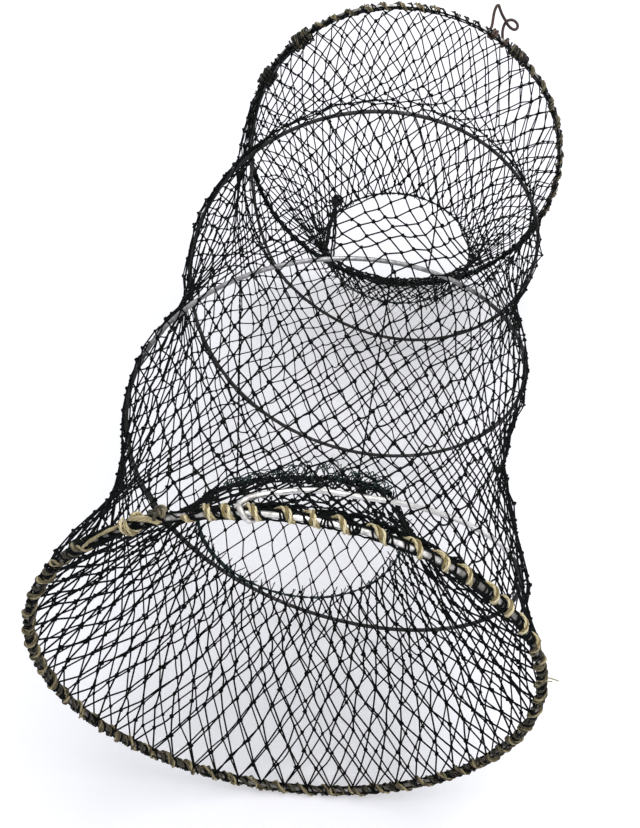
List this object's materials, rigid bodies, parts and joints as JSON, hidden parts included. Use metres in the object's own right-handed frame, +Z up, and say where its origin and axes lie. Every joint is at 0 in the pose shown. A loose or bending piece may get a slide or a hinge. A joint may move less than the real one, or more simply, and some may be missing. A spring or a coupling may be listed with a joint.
{
  "type": "minnow trap",
  "caption": "Collapsible round fish trap: a net tube over a steel coil spring between two wire hoops, with a net funnel at each end and a wire latch.",
  "frame": {"origin": "on the floor that the trap lies on, under the middle of its bounding box", "axes": "+Y from the front end to the back end, +Z up, +X to the right seen from the front"},
  "size_m": [0.3326, 0.5882, 0.3093],
  "materials": {
    "hoop_wire": "bright galvanised wire, a little scuffed",
    "spring_wire": "grey spring wire, satin",
    "latch_wire": "dark brown oxidised wire",
    "straw_twine": "straw-coloured twisted twine, fuzzy",
    "khaki_twine": "weathered olive-brown twine",
    "black_cord": "black braided cord with a green-blue tinge",
    "black_net": "black knotted netting twine"
  },
  "bodies": {
    "front_end": {"front_hoop": "hoop_wire", "front_lashing": "straw_twine", "front_short_lashing": "straw_twine", "front_lashing_knot": "straw_twine", "front_funnel_net": "black_net", "front_throat_cord": "black_cord", "spring_wire": "spring_wire", "body_net": "black_net", "front_throat_tie_left": "black_cord", "front_throat_tie_right": "black_cord"},
    "back_end": {"back_hoop": "hoop_wire", "back_lashing": "black_cord", "back_top_lashing": "khaki_twine", "splice_whipping_1": "khaki_twine", "splice_whipping_2": "khaki_twine", "latch_whipping": "khaki_twine", "back_funnel_net": "black_net", "back_throat_cord": "black_cord", "back_throat_tie_left": "black_cord", "back_throat_tie_right": "black_cord"},
    "latch": {"wire_latch": "latch_wire"}
  },
  "joints": [
    {"name": "collapse", "type": "slide", "parent": "front_end", "child": "back_end", "axis": [0, -1, 0], "range_m": [0, 0.541], "stiffness_N_per_m": 12, "springref_m": -0.15, "deforming": ["spring_wire", "body_net", "front_funnel_net", "front_throat_cord", "front_throat_tie_left", "front_throat_tie_right", "back_funnel_net", "back_throat_cord", "back_throat_tie_left", "back_throat_tie_right"]},
    {"name": "latch_swing", "type": "hinge", "parent": "back_end", "child": "latch", "pos_m": [0.1006, 0.27841, 0.27012], "axis": [0.809, 0, -0.5878], "range_deg": [-60, 115]}
  ]
}
